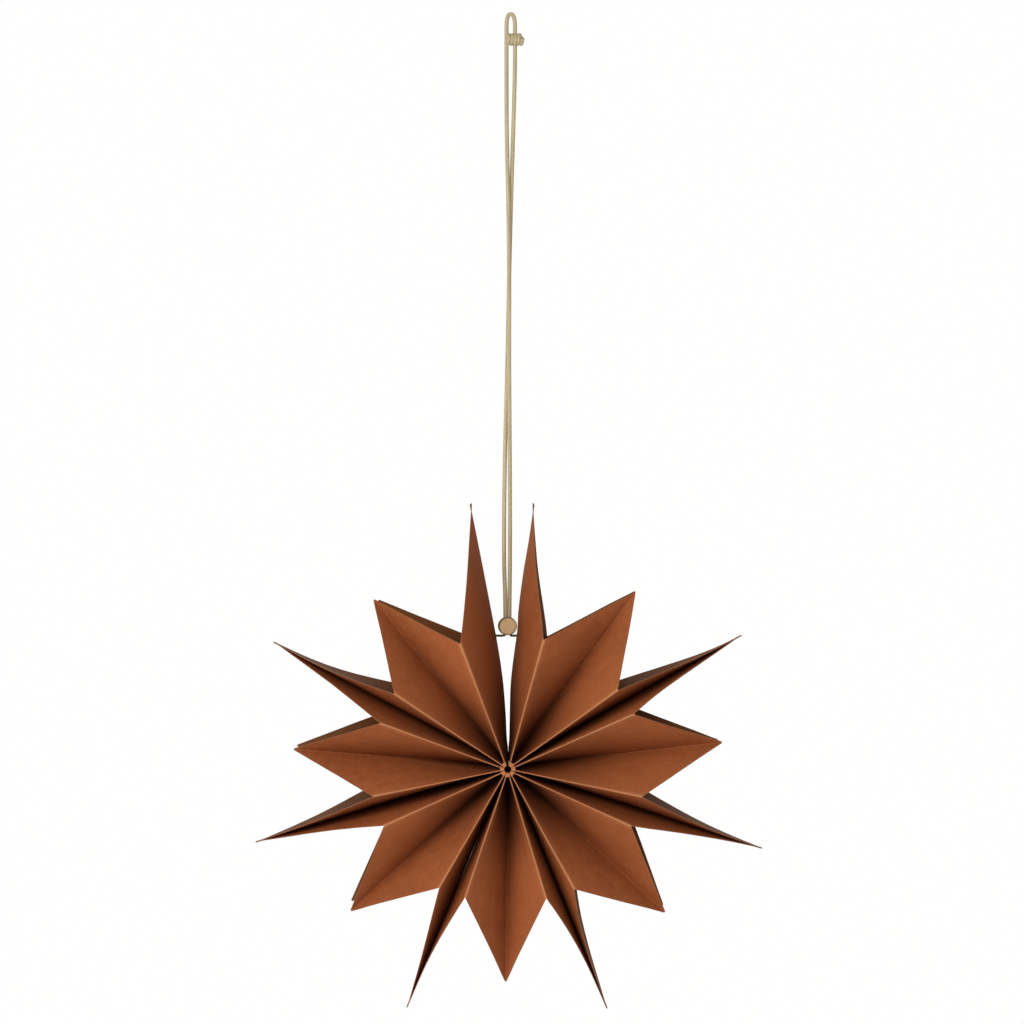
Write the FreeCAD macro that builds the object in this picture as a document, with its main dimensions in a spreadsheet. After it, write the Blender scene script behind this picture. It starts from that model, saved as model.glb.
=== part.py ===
import FreeCAD, Part
import math
import os

import Sketcher

# A hanging paper star of seven folded paper units on a doubled cord.
# Millimetres. +Z up, the front of the star faces -Y, +X is to the right seen from the front.
# The origin is the point that the cord's eye hangs from. Azimuths are degrees clockwise from straight
# up, seen from the front, and run anticlockwise round the star from the left side of the open gap.

V = FreeCAD.Vector
doc = FreeCAD.newDocument("paper_star")

# ---------------------------------------------------------------- the sheet of dimensions
sheet = doc.addObject("Spreadsheet::Sheet", "Dimensions")
rows = [
    ("paper_thickness", 0.3),
    ("half_depth", 45.3),          # half the width of a unit's wide panel, front edge to middle
    ("gusset_width", 30.0),        # front edge to valley fold
    ("hub_radius", 1.75),           # hole that is left at the star's centre
    ("seal_radius", 4.0),          # the closed inner end of a unit reaches this far out
    ("seal_floor", 0.7),           # paper between that end and the open inside
    ("glue_share", 0.06),          # share of the half depth that is glued flat
    ("axis_right", 0.38),          # the front end of the star's centre line stands this far to the right
    ("axis_down", 0.72),           # and this far down, the rear end as far the other way
    ("cut_length", 50.6),          # front edge end to valley end, along the cut
    ("cord_size", 2.0),
    ("eye_middle", 0.83),          # the eye's middle, from the star's centre line
    ("eye_inside", 356.7),         # the top of the eye's inside, above the star's centre
    ("eye_bend", 2.03),            # radius of the cord's centre line round the eye
    ("bead_size", 8.8),
    ("bead_width", 7.0),
    ("bead_bore", 4.2),
    ("bead_edge", 1.1),
    ("bead_middle", -0.75),
    ("bead_height", 65.8),
    ("bead_turn", 6.0),
    ("thread_size", 1.2),
    ("thread_height", 61.2),
    ("thread_bend", 1.2),
    ("thread_hole", 1.5),
    ("thread_knot", 2.8),
    ("knot_length", 8.6),
    ("knot_size", 6.4),
    ("knot_middle", 3.0),
    ("knot_height", 345.6),
]
# the seven glued middle lines and the two free ones: azimuth and reach of their points
rays = {
    "a": (-8.5, 125.6), "b": (-62.67, 126.6), "c": (-107.17, 126.7), "d": (-157.23, 126.1),
    "e": (-201.87, 125.6), "f": (-251.62, 127.1), "g": (-299.0, 126.8), "h": (-354.5, 124.6),
}
for key, (azimuth, reach) in rays.items():
    rows += [("ray_" + key + "_azimuth", azimuth), ("ray_" + key + "_reach", reach)]
# each unit: front edge on its low and high side (azimuth, length from the axis), valley azimuth and reach
units = [
    ("b", "a", -56.9, 63.1, -20.6, 62.0, -38.9, 101.4),
    ("c", "b", -102.3, 64.1, -70.5, 62.8, -85.6, 102.2),
    ("d", "c", -150.7, 64.4, -115.1, 63.7, -132.7, 101.6),
    ("e", "d", -196.9, 63.7, -161.9, 63.6, -179.4, 102.3),
    ("f", "e", -245.1, 64.1, -209.0, 65.0, -227.0, 101.75),
    ("g", "f", -293.1, 64.4, -257.8, 64.6, -276.35, 102.15),
    ("h", "g", -344.2, 62.3, -304.8, 63.2, -323.75, 102.0),
]
# how each panel goes from its middle line to its edge (the share that it turns evenly, and the power that
# the rest grows with), and how far clockwise its rear edge stands of the front one: low side, high side,
# and then the same turn for the rear valley, and how much further out its tip is than the front one's
leans = [
    (0.00, 2.8, 2.0, 0.60, 3.0, 3.7, -0.2, -0.8),
    (0.30, 2.8, 3.0, 0.45, 3.0, 3.5, 0.0, 0.9),
    (0.45, 2.6, 0.0, 0.45, 3.4, 1.5, 1.5, 0.0),
    (0.00, 3.2, 0.0, 0.00, 2.8, 0.0, 0.0, 0.0),
    (0.30, 2.4, 0.0, 0.30, 3.8, 0.5, 0.0, -1.0),
    (0.45, 4.4, -0.3, 0.15, 2.8, 0.0, 0.3, -1.2),
    (0.45, 2.1, 0.4, 0.00, 2.0, -2.0, 0.0, 0.0),
]
WORDS = ("one", "two", "three", "four", "five", "six", "seven")
for word, u, lean in zip(WORDS, units, leans):
    for name, value in zip(("low_azimuth", "low_edge", "high_azimuth", "high_edge", "valley_azimuth", "valley_reach"), u[2:]):
        rows.append(("unit_%s_%s" % (word, name), value))
    for name, value in zip(("low_even", "low_power", "low_rear", "high_even", "high_power", "high_rear", "valley_rear", "valley_further"), lean):
        rows.append(("unit_%s_%s" % (word, name), value))
for line, (name, value) in enumerate(rows, 1):
    sheet.set("A%d" % line, name)
    sheet.set("B%d" % line, "%g" % value)
    sheet.setAlias("B%d" % line, name)
doc.recompute()


def size(name):
    return float(sheet.get(name))


thick, depth, gusset = size("paper_thickness"), size("half_depth"), size("gusset_width")
hub, seal, floor = size("hub_radius"), size("seal_radius"), size("seal_floor")
glue = size("glue_share")
home = V(-size("eye_middle"), 0, -size("eye_inside"))  # where the star's centre lies from the origin

# The free panels beside the gap bulge into it, so their middle lines are curved: reach, azimuth.
bulge = {
    "a": ((0, -3.6), (7.5, -3.7), (11.5, -4.8), (21, -3.9), (30.5, -3.9), (39, -4.15), (62, -5.84), (75, -6.7), (90, -7.4), (107, -8.0), (125, -8.5)),
    "h": ((0, -2.2), (7.5, -2.1), (11.5, 0.3), (21, 0.9), (30.5, 0.95), (39, 1.3), (62, 3.46), (73, 3.52), (90, 4.2), (107, 5.05), (125, 5.5)),
}
SHARES = (1.0, 0.82, 0.64, 0.47, 0.31, 0.17, glue, 0.0)  # of the half depth, front edge to middle
STEPS = (0.0, 0.1, 0.24, 0.5, 1.0)                       # of the way from the closed end to the notch


def point(reach, azimuth, y):
    """A point of the star. Near its centre everything follows the slightly tilted centre line."""
    a = math.radians(azimuth)
    tilt = -y / depth * min(1.0, max(0.0, (63 - reach) / 55))
    return V(reach * math.sin(a) + size("axis_right") * tilt, y, reach * math.cos(a) - size("axis_down") * tilt)


def along(table, reach):
    """A smooth curve through a table of values."""
    xs, ys = [p[0] for p in table], [p[1] for p in table]
    reach = min(max(reach, xs[0]), xs[-1])
    slopes = [(ys[min(i + 1, len(xs) - 1)] - ys[max(i - 1, 0)]) / (xs[min(i + 1, len(xs) - 1)] - xs[max(i - 1, 0)]) for i in range(len(xs))]
    i = max(k for k in range(len(xs) - 1) if reach >= xs[k])
    w = xs[i + 1] - xs[i]
    q = (reach - xs[i]) / w
    return ((2 * q**3 - 3 * q**2 + 1) * ys[i] + (q**3 - 2 * q**2 + q) * w * slopes[i]
            + (-2 * q**3 + 3 * q**2) * ys[i + 1] + (q**3 - q**2) * w * slopes[i + 1])


def middle(key, reach, base):
    """Azimuth of a panel's middle line."""
    if key in bulge:
        value = along(bulge[key], reach)
        return value - 360 if base < -180 else value
    return base


def quad(a, b, c, d):
    corners = []
    for p in (a, b, c, d):
        if not any(p.distanceToPoint(o) < 1e-5 for o in corners):
            corners.append(p)
    if len(corners) < 3:
        return None
    if len(corners) == 4:
        n = (corners[1] - corners[0]).cross(corners[2] - corners[0])
        n.normalize()
        if abs((corners[3] - corners[0]).dot(n)) > 1e-6:
            return Part.makeRuledSurface(Part.makeLine(a, b), Part.makeLine(d, c))
    return Part.Face(Part.makePolygon(corners + corners[:1]))


class Panel:
    """One wide side of a unit. side is +1 on the clockwise side of the unit and -1 on the other."""

    def __init__(self, key, side, front, edge, even, power, rear):
        self.key, self.side, self.front, self.edge = key, side, front, edge
        self.even, self.power, self.rear = even, power, rear
        self.base = size("ray_" + key + "_azimuth")
        self.tip = size("ray_" + key + "_reach")
        lean = math.radians(front - middle(key, edge, self.base)) * edge
        longer = even**2 + 2 * even * (1 - even) + (1 - even) ** 2 * power**2 / (2 * power - 1)
        self.shrink = 1 - math.sqrt(1 - longer * (lean / depth) ** 2)

    def end(self, face):
        """Azimuth of the front or the rear edge."""
        return self.front + (self.rear if face > 0 else 0)

    def at(self, reach, share, face):
        """(azimuth, y) of the outside skin. face is -1 on the front half and +1 on the rear half."""
        mid = middle(self.key, reach, self.base)
        end = self.end(face)
        free = max(0.0, (share - glue) / (1 - glue))
        bend = self.even * free + (1 - self.even) * free**self.power
        return mid + (end - mid) * bend, face * share * depth * (1 - self.shrink * reach / self.edge)

    def normal(self, reach, share, face):
        """Unit vector into the unit, across the section at this reach."""
        d = 0.02
        lo, hi = self.at(reach, max(share - d, 0), face), self.at(reach, share + d, face)
        s, y = math.radians(hi[0] - lo[0]) * reach, hi[1] - lo[1]
        length = math.hypot(s, y)
        n = (-self.side * abs(y) / length, self.side * s / length * (1 if y > 0 else -1))
        return n

    def inside(self, reach, share, face):
        azimuth, y = self.at(reach, share, face)
        n = self.normal(reach, share, face) if share > 1e-9 else (-self.side, 0.0)
        return azimuth + math.degrees(n[0] * thick / reach), y + n[1] * thick


class Unit:
    def __init__(self, number):
        get = lambda name: size("unit_%s_%s" % (WORDS[number - 1], name))
        low, high = units[number - 1][0], units[number - 1][1]
        self.sides = tuple(Panel(key, side, *(get(word + name) for name in ("_azimuth", "_edge", "_even", "_power", "_rear")))
                           for key, side, word in ((low, -1, "low"), (high, 1, "high")))
        self.valley, self.valley_rear, self.valley_reach, self.further = (get("valley_" + name) for name in ("azimuth", "rear", "reach", "further"))
        self.axis = (self.sides[0].base + middle(self.sides[1].key, 125, self.sides[1].base)) / 2

    def valley_at(self, step, face):
        """The valley fold: reach, azimuth, y, and the half angle between its two leaves."""
        low, high = self.sides
        reach = seal + step * ((low.edge + high.edge) / 2 - seal)
        half = math.radians(high.end(face) - low.end(face)) / 2
        y_edge = (abs(low.at(reach, 1, face)[1]) + abs(high.at(reach, 1, face)[1])) / 2
        across = min(reach * math.sin(half), 0.95 * gusset)
        deep = math.sqrt(gusset**2 - across**2)
        return reach, self.valley + (self.valley_rear if face > 0 else 0), face * (y_edge - deep), math.asin(across / gusset)

    def valley_tip(self, face):
        low, high = self.sides
        reach, azimuth, y, half = self.valley_at(1, face)
        opening = math.radians(high.end(face) - low.end(face)) / 2
        edge = (low.edge + high.edge) / 2
        y_edge = (abs(low.at(low.edge, 1, face)[1]) + abs(high.at(high.edge, 1, face)[1])) / 2
        tip = self.valley_reach + (self.further if face > 0 else 0)
        left = size("cut_length") ** 2 - (tip - edge * math.cos(opening)) ** 2 - (edge * math.sin(opening)) ** 2
        return tip, azimuth, face * (y_edge - math.sqrt(left)), half

    def corner(self, panel, step, face):
        """Where the insides of a panel and of the gusset leaf beside it meet: (azimuth, y, share)."""
        reach = seal + step * (panel.edge - seal)
        _, va, vy, half = self.valley_at(step, face)
        ea, ey = panel.at(reach, 1, face)
        e = (math.radians(ea - va) * reach, ey)
        direction = (-e[0], vy - ey)
        length = math.hypot(*direction)
        n = (-direction[1] / length, direction[0] / length)
        if n[0] * panel.side < 0:
            n = (-n[0], -n[1])
        a = (e[0] + n[0] * thick, e[1] + n[1] * thick)

        def gap(share):
            azimuth, y = panel.inside(reach, share, face)
            s = math.radians(azimuth - va) * reach
            return ((s - a[0]) * n[0] + (y - a[1]) * n[1])

        lo, hi = 0.3, 1.0
        if gap(hi) > 0:
            return panel.inside(reach, hi, face) + (1.0,)
        for _ in range(60):
            m = (lo + hi) / 2
            if gap(m) > 0:
                lo = m
            else:
                hi = m
        return panel.inside(reach, lo, face) + (lo,)

    def ridge(self, where, side, face):
        """The inside corner of the valley fold on one side of it."""
        reach, azimuth, y, half = where
        return azimuth + math.degrees(side * thick * math.cos(half) / reach), y - face * thick

    def solid(self):
        faces = []
        add = lambda *corners: faces.append(quad(*corners))
        low, high = self.sides
        inner_first = []
        for face in (-1, 1):
            valley = [self.valley_at(s, face) for s in STEPS]
            tip = self.valley_tip(face)
            valley_out = [point(*v[:3]) for v in valley] + [point(*tip[:3])]
            ridges = {}
            for panel in self.sides:
                side = panel.side
                reach_of = lambda step, p=panel: seal + step * (p.edge - seal)
                # outside of the panel: closed end, then step by step to the notch, then to the cut edge
                cut = [panel.tip - (panel.tip - panel.edge) * w for w in SHARES]
                outer = [[point(hub, *panel.at(hub, w, face)) for w in SHARES]]
                outer += [[point(reach_of(s), *panel.at(reach_of(s), w, face)) for w in SHARES] for s in STEPS]
                for lower, upper in zip(outer, outer[1:]):
                    for j in range(len(SHARES) - 1):
                        add(lower[j], lower[j + 1], upper[j + 1], upper[j])
                # inside, from the closed end's floor
                inner, first = [], None
                for s in STEPS:
                    reach = reach_of(s) + (floor if s == 0 else 0)
                    c = self.corner(panel, s if s else floor / (panel.edge - seal), face)
                    row = [(reach,) + panel.inside(reach, w * c[2], face) for w in SHARES]
                    row[0] = (reach, c[0], c[1])
                    inner.append(row)
                flat = []
                for reach, azimuth, y in inner[0]:  # the floor is flat across the unit's axis
                    a = math.radians(azimuth - self.axis)
                    flat.append(point((seal + floor) / math.cos(a), azimuth, y))
                inner = [flat] + [[point(*p) for p in row] for row in inner[1:]]
                for lower, upper in zip(inner, inner[1:]):
                    for j in range(len(SHARES) - 1):
                        add(lower[j], lower[j + 1], upper[j + 1], upper[j])
                # beyond the notch, in rows that end on the straight cut
                skins = []
                for inside in (False, True):
                    rows_ = []
                    for k, station in enumerate(cut):
                        row = []
                        for j, w in enumerate(SHARES):
                            if j < k:
                                row.append(None)
                            elif k == 0:
                                row.append((inner[-1] if inside else outer[-1])[j])
                            else:
                                row.append(point(station, *(panel.inside if inside else panel.at)(station, w, face)))
                        rows_.append(row)
                    if panel.key in bulge:
                        for k in range(len(cut) - 1):
                            for j in range(k, len(SHARES) - 1):
                                a, b, c, d = rows_[k][j], rows_[k][j + 1], rows_[k + 1][j + 1], rows_[k + 1][j]
                                add(a, b, c, d if d is not None else c)
                    else:
                        for j in range(len(SHARES) - 1):
                            add(rows_[0][j], rows_[0][j + 1], rows_[j + 1][j + 1], rows_[j][j])
                    skins.append([rows_[k][k] for k in range(len(cut))])
                for k in range(len(cut) - 1):
                    add(skins[0][k], skins[0][k + 1], skins[1][k + 1], skins[1][k])
                # the gusset leaf beside this panel
                edge_out = [row[0] for row in outer[1:]]
                edge_in = [row[0] for row in inner]
                ridge = []
                for i, v in enumerate(valley + [tip]):
                    azimuth, y = self.ridge(v if i else (v[0] + floor,) + v[1:], side, face)
                    if i == 0:
                        a = math.radians(azimuth - self.axis)
                        ridge.append(point((seal + floor) / math.cos(a), azimuth, y))
                    else:
                        ridge.append(point(v[0], azimuth, y))
                ridges[side] = ridge
                for i in range(len(STEPS) - 1):
                    add(edge_out[i], valley_out[i], valley_out[i + 1], edge_out[i + 1])
                    add(edge_in[i], ridge[i], ridge[i + 1], edge_in[i + 1])
                add(edge_out[-1], valley_out[-2], valley_out[-1], valley_out[-1])
                add(edge_in[-1], ridge[-2], ridge[-1], ridge[-1])
                add(edge_out[-1], valley_out[-1], ridge[-1], edge_in[-1])
                panel.found = getattr(panel, "found", {})
                panel.found[face] = (outer, inner)
            low_outer, high_outer = low.found[face][0], high.found[face][0]
            for j in range(len(SHARES) - 1):  # the closed end, towards the star's centre
                add(low_outer[0][j], low_outer[0][j + 1], high_outer[0][j + 1], high_outer[0][j])
            add(low_outer[0][0], low_outer[1][0], high_outer[1][0], high_outer[0][0])
            add(low_outer[1][0], valley_out[0], high_outer[1][0], high_outer[1][0])
            for i in range(len(STEPS)):
                add(ridges[-1][i], ridges[1][i], ridges[1][i + 1], ridges[-1][i + 1])
            add(ridges[-1][-1], ridges[1][-1], valley_out[-1], valley_out[-1])
            inner_first.append((ridges[-1][0], ridges[1][0]))
        outline = list(low.found[-1][1][0])                      # low side, front corner to middle
        outline += list(reversed(low.found[1][1][0]))[1:]        # and on to the rear corner
        outline += [inner_first[1][0], inner_first[1][1]]        # rear ridge
        outline += list(high.found[1][1][0])                     # high side, rear corner to middle
        outline += list(reversed(high.found[-1][1][0]))[1:]      # and on to the front corner
        outline += [inner_first[0][1], inner_first[0][0]]        # front ridge
        faces.append(Part.Face(Part.makePolygon(outline + outline[:1])))
        shell = Part.makeShell([f for f in faces if f is not None])
        solid = Part.makeSolid(shell)
        if solid.Volume < 0:
            solid.reverse()
        return solid


parts = []


def place(obj):
    obj.Placement = FreeCAD.Placement(home, FreeCAD.Rotation())


# ---------------------------------------------------------------- the seven folded units
for number in range(1, 8):
    unit = Unit(number)
    feature = doc.addObject("Part::Feature", "folded_sheet_%d" % number)
    feature.Shape = unit.solid()
    place(feature)
    if number in (1, 7):
        # the tie thread's hole through the free panel
        hole = doc.addObject("Part::Cylinder", "thread_hole_%d" % number)
        hole.setExpression("Radius", "Dimensions.thread_hole / 2")
        hole.Height = 12
        hole.Placement = FreeCAD.Placement(home + V(-10.5 if number == 1 else 1.0, 0, size("thread_height")), FreeCAD.Rotation(V(0, 1, 0), 90))
        cut = doc.addObject("Part::Cut", "punched_sheet_%d" % number)
        cut.Base, cut.Tool = feature, hole
        feature = cut
    feature.Label = "star_unit_%d" % number
    parts.append(feature)

# ---------------------------------------------------------------- the doubled cord
# Its line in the star's own frame: up one side, round the eye, down the other. The two sides pass
# each other half way up, one in front of the other.
bm, bh = size("bead_middle"), size("bead_height")
em, top, bend = size("eye_middle"), size("eye_inside") + size("cord_size") / 2, size("eye_bend")
ROUTE = [
    (bm + 0.95, -0.42, bh + 0.3), (bm + 0.95, -0.42, 78.5), (0.46, -0.30, 94.0), (0.50, -0.80, 140.0), (0.02, -1.25, 190.0),
    (0.20, -1.28, 245.0), (-0.98, -0.55, 296.0), (em - bend, 0.0, 318.0),
    (em - bend, 0.0, top), (em + bend, 0.0, top),
    (em + bend, 0.0, 330.0), (1.95, 0.40, 300.0), (0.42, 1.22, 250.0), (-0.72, 1.25, 195.0), (-2.05, 0.70, 145.0),
    (-2.40, 0.30, 115.0), (-2.36, 0.32, 94.0), (bm - 0.95, 0.42, 78.5), (bm - 0.95, 0.42, bh + 0.3),
]


def cord_line(points, bends):
    """Straight runs joined by tangent arcs. bends gives the radius at some corners."""
    pts = [V(*p) for p in points]
    n = len(pts)
    cuts, radii = {}, []
    for i in range(1, n - 1):
        a, b = pts[i - 1] - pts[i], pts[i + 1] - pts[i]
        short = min(a.Length, b.Length)
        turn = math.pi - a.getAngle(b)
        radius = bends.get(i, 0.45 * short / math.tan(turn / 2))
        trim = radius * math.tan(turn / 2)
        ua, ub = V(a), V(b)
        ua.normalize()
        ub.normalize()
        start, end = pts[i] + ua * trim, pts[i] + ub * trim
        toward = ua + ub
        toward.normalize()
        centre = pts[i] + toward * (radius / math.cos(turn / 2))
        cuts[i] = (start, centre - toward * radius, end)
        radii.append(round(radius, 1))
    edges, here = [], pts[0]
    for i in range(1, n - 1):
        start, mid, end = cuts[i]
        if here.distanceToPoint(start) > 1e-6:
            edges.append(Part.LineSegment(here, start).toShape())
        edges.append(Part.Arc(start, mid, end).toShape())
        here = end
    edges.append(Part.LineSegment(here, pts[-1]).toShape())
    return Part.Wire(edges), radii


def tube(label, points, bends, alias):
    """A round cord or thread along its line, as a sweep of a circle."""
    wire, radii = cord_line(points, bends)
    spine = doc.addObject("Part::Feature", label + "_line")
    spine.Shape = wire
    ring = doc.addObject("Part::Circle", label + "_section")
    ring.setExpression("Radius", "Dimensions.%s / 2" % alias)
    start = V(*points[0])
    direction = V(*points[1]) - start
    ring.Placement = FreeCAD.Placement(start, FreeCAD.Rotation(V(0, 0, 1), direction))
    sweep = doc.addObject("Part::Sweep", label + "_tube")
    sweep.Sections = [ring]
    sweep.Spine = (spine, ["Edge%d" % (i + 1) for i in range(len(wire.Edges))])
    sweep.Solid = True
    sweep.Frenet = False
    doc.recompute()
    section = math.pi * (size(alias) / 2) ** 2
    print(label, "length %.1f mm," % wire.Length, "radii", radii, "volume %.2f of %.2f mm3" % (sweep.Shape.Volume, section * wire.Length))
    return sweep, wire.Length


eye = ROUTE.index((em - bend, 0.0, top))
cord, cord_length = tube("hanging_cord", ROUTE, {eye: bend - 0.02, eye + 1: bend - 0.02}, "cord_size")
place(cord)
cord.Label = "hanging_cord"
parts.append(cord)

# ---------------------------------------------------------------- turned pieces: the bead and the knot
def disc(label, radius, length, plane, fillet):
    """A round piece: a circle on one of the body's own planes, drawn out both ways, its rims rounded."""
    body = doc.addObject("PartDesign::Body", label + "_body")
    planes = {f.Role: f for f in body.Origin.OriginFeatures}
    sketch = body.newObject("Sketcher::SketchObject", label + "_circle")
    sketch.AttachmentSupport = [(planes[plane], "")]
    sketch.MapMode = "FlatFace"
    sketch.addGeometry(Part.Circle(V(0, 0, 0), V(0, 0, 1), 3.0), False)
    sketch.addConstraint(Sketcher.Constraint("Coincident", 0, 3, -1, 1))
    sketch.addConstraint(Sketcher.Constraint("Radius", 0, 3.0))
    sketch.renameConstraint(1, "round_size")
    sketch.setExpression("Constraints.round_size", radius)
    doc.recompute()
    pad = body.newObject("PartDesign::Pad", label + "_disc")
    pad.Profile = sketch
    pad.setExpression("Length", length)
    pad.Midplane = True
    doc.recompute()
    rims = ["Edge%d" % (i + 1) for i, e in enumerate(pad.Shape.Edges) if e.Curve.TypeId == "Part::GeomCircle"]
    rounding = body.newObject("PartDesign::Fillet", label + "_rims")
    rounding.Base = (pad, rims)
    rounding.setExpression("Radius", fillet)
    doc.recompute()
    return body, planes


bead, planes = disc("bead", "Dimensions.bead_size / 2", "Dimensions.bead_width", "XZ_Plane", "Dimensions.bead_edge")
before = bead.Shape.Volume
bore = bead.newObject("Sketcher::SketchObject", "bore_circle")
bore.AttachmentSupport = [(planes["XY_Plane"], "")]
bore.MapMode = "FlatFace"
bore.addGeometry(Part.Circle(V(0, 0, 0), V(0, 0, 1), 2.0), False)
bore.addConstraint(Sketcher.Constraint("Coincident", 0, 3, -1, 1))
bore.addConstraint(Sketcher.Constraint("Radius", 0, 2.0))
bore.renameConstraint(1, "bore_size")
bore.setExpression("Constraints.bore_size", "Dimensions.bead_bore / 2")
doc.recompute()
pocket = bead.newObject("PartDesign::Pocket", "cord_bore")
pocket.Profile = bore
pocket.Type = "Length"
pocket.setExpression("Length", "Dimensions.bead_size * 2")
pocket.Midplane = True
doc.recompute()
print("bead volume %.1f, bored %.1f mm3" % (before, bead.Shape.Volume))
bead.Placement = FreeCAD.Placement(home + V(bm, 0, bh), FreeCAD.Rotation(V(0, 0, 1), size("bead_turn")))
bead.Label = "bead"
parts.append(bead)

lump, _ = disc("knot", "Dimensions.knot_size / 2", "Dimensions.knot_length", "YZ_Plane", "Dimensions.knot_size * 0.28")
lump.Placement = FreeCAD.Placement(home + V(size("knot_middle"), 0, size("knot_height")), FreeCAD.Rotation())
knot = doc.addObject("Part::Cut", "knot_round_the_cord")
knot.Base, knot.Tool = lump, cord
knot.Label = "cord_knot"
parts.append(knot)

# ---------------------------------------------------------------- the tie thread
# From a knot inside one free panel, through its hole, up into the bead, back down and out through the
# other free panel to a second knot.
th, tb = size("thread_height"), size("thread_bend")
left, right, up = -8.05, 5.45, 64.9
THREAD = [(left, 0, th), (bm - tb, 0, th), (bm - tb, 0, up), (bm + tb, 0, up), (bm + tb, 0, th), (right, 0, th)]
thread, thread_length = tube("tie_thread", THREAD, {i: tb - 0.02 for i in range(1, 5)}, "thread_size")
place(thread)
ends = []
for name, x in (("left", left), ("right", right)):
    ball = doc.addObject("Part::Sphere", "thread_knot_" + name)
    ball.setExpression("Radius", "Dimensions.thread_knot / 2")
    ball.Placement = FreeCAD.Placement(home + V(x, 0, th), FreeCAD.Rotation())
    ends.append(ball)
tie = doc.addObject("Part::MultiFuse", "thread_with_knots")
tie.Shapes = [thread] + ends
tie.Label = "tie_thread"
parts.append(tie)

# ---------------------------------------------------------------- checks, then one file a piece
doc.recompute()
for obj in doc.Objects:
    if any(word in obj.State for word in ("Invalid", "Error")):
        raise RuntimeError("%s: %s" % (obj.Name, obj.State))
for obj in parts:
    shape = obj.Shape
    if shape.isNull() or not shape.isValid() or len(shape.Solids) != 1 or shape.Volume <= 0:
        raise RuntimeError("%s isn't one valid solid" % obj.Label)
    box = shape.BoundBox
    print("%-14s %9.1f mm3  faces %4d  x %.1f..%.1f  y %.1f..%.1f  z %.1f..%.1f" % (
        obj.Label, shape.Volume, len(shape.Faces), box.XMin, box.XMax, box.YMin, box.YMax, box.ZMin, box.ZMax))
os.makedirs("parts", exist_ok=True)
for obj in parts:
    obj.Shape.exportStep("parts/%s.step" % obj.Label)
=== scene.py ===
"""Looks of the hanging paper star: folded paper, doubled cord, turned bead, tie thread.

Metres in the scene, millimetres in the tables. The star's own frame has its origin at the star's
centre, azimuths run clockwise from straight up seen from the front, and the front faces -Y.
"""
import math

import bmesh
import bpy
import numpy as np
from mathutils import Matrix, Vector, noise


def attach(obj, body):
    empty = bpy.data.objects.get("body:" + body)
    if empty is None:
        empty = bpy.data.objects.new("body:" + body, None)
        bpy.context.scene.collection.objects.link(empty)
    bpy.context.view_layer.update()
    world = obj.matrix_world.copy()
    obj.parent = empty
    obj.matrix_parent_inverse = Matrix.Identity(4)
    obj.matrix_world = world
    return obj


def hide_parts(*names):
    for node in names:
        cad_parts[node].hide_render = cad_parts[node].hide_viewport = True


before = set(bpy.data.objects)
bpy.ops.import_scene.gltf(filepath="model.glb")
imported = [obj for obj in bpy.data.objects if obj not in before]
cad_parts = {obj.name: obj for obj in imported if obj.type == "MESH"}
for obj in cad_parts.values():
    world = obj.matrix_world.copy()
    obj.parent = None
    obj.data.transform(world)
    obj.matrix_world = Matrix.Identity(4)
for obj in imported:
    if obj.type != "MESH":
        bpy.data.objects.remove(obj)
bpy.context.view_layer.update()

MM = 0.001
HOME = np.array((-0.83, 0.0, -356.7))
scene = bpy.context.scene


def placed(points):
    return (np.asarray(points, float) + HOME) * MM


# ------------------------------------------------------------------------------------ camera
camera = bpy.data.objects.new("view", bpy.data.cameras.new("view"))
scene.collection.objects.link(camera)
camera.data.sensor_width = 36.0
camera.data.lens = 210.9
camera.data.clip_start, camera.data.clip_end = 0.05, 60.0
aim = Vector((0.0006, 0.0, -0.2365))
turn = math.radians(1.2)
camera.location = aim + 2.862 * Vector((math.sin(turn), -math.cos(turn), 0.0))
camera.rotation_mode = "QUATERNION"
camera.rotation_quaternion = (aim - camera.location).to_track_quat("-Z", "Y")
scene.camera = camera

# ------------------------------------------------------------------------------------ the cord's line
BM, BH, EM, BEND, TOP = -0.75, 65.8, 0.83, 2.03, 357.7
ROUTE = [
    (BM + 0.95, -0.42, BH + 0.3), (BM + 0.95, -0.42, 78.5), (0.46, -0.30, 94.0), (0.50, -0.80, 140.0), (0.02, -1.25, 190.0),
    (0.20, -1.28, 245.0), (-0.98, -0.55, 296.0), (EM - BEND, 0.0, 318.0),
    (EM - BEND, 0.0, 345.7), (EM - BEND, 0.0, TOP), (EM + BEND, 0.0, TOP), (EM + BEND, 0.0, 345.7),
    (EM + BEND, 0.0, 330.0), (1.95, 0.40, 300.0), (0.42, 1.22, 250.0), (-0.72, 1.25, 195.0), (-2.05, 0.70, 145.0),
    (-2.40, 0.30, 115.0), (-2.36, 0.32, 94.0), (BM - 0.95, 0.42, 78.5), (BM - 0.95, 0.42, BH + 0.3),
]
line = bpy.data.curves.new("doubled_cord", "CURVE")
line.dimensions = "3D"
spline = line.splines.new("NURBS")
spline.points.add(len(ROUTE) - 1)
for p, co in zip(spline.points, placed(ROUTE)):
    p.co = (*co, 1.0)
spline.order_u = 3
spline.use_endpoint_u = True
spline.resolution_u = 16
line.bevel_depth = 0.001
line.bevel_resolution = 6
line.use_fill_caps = True
cord = bpy.data.objects.new("doubled_cord", line)
scene.collection.objects.link(cord)


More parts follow.
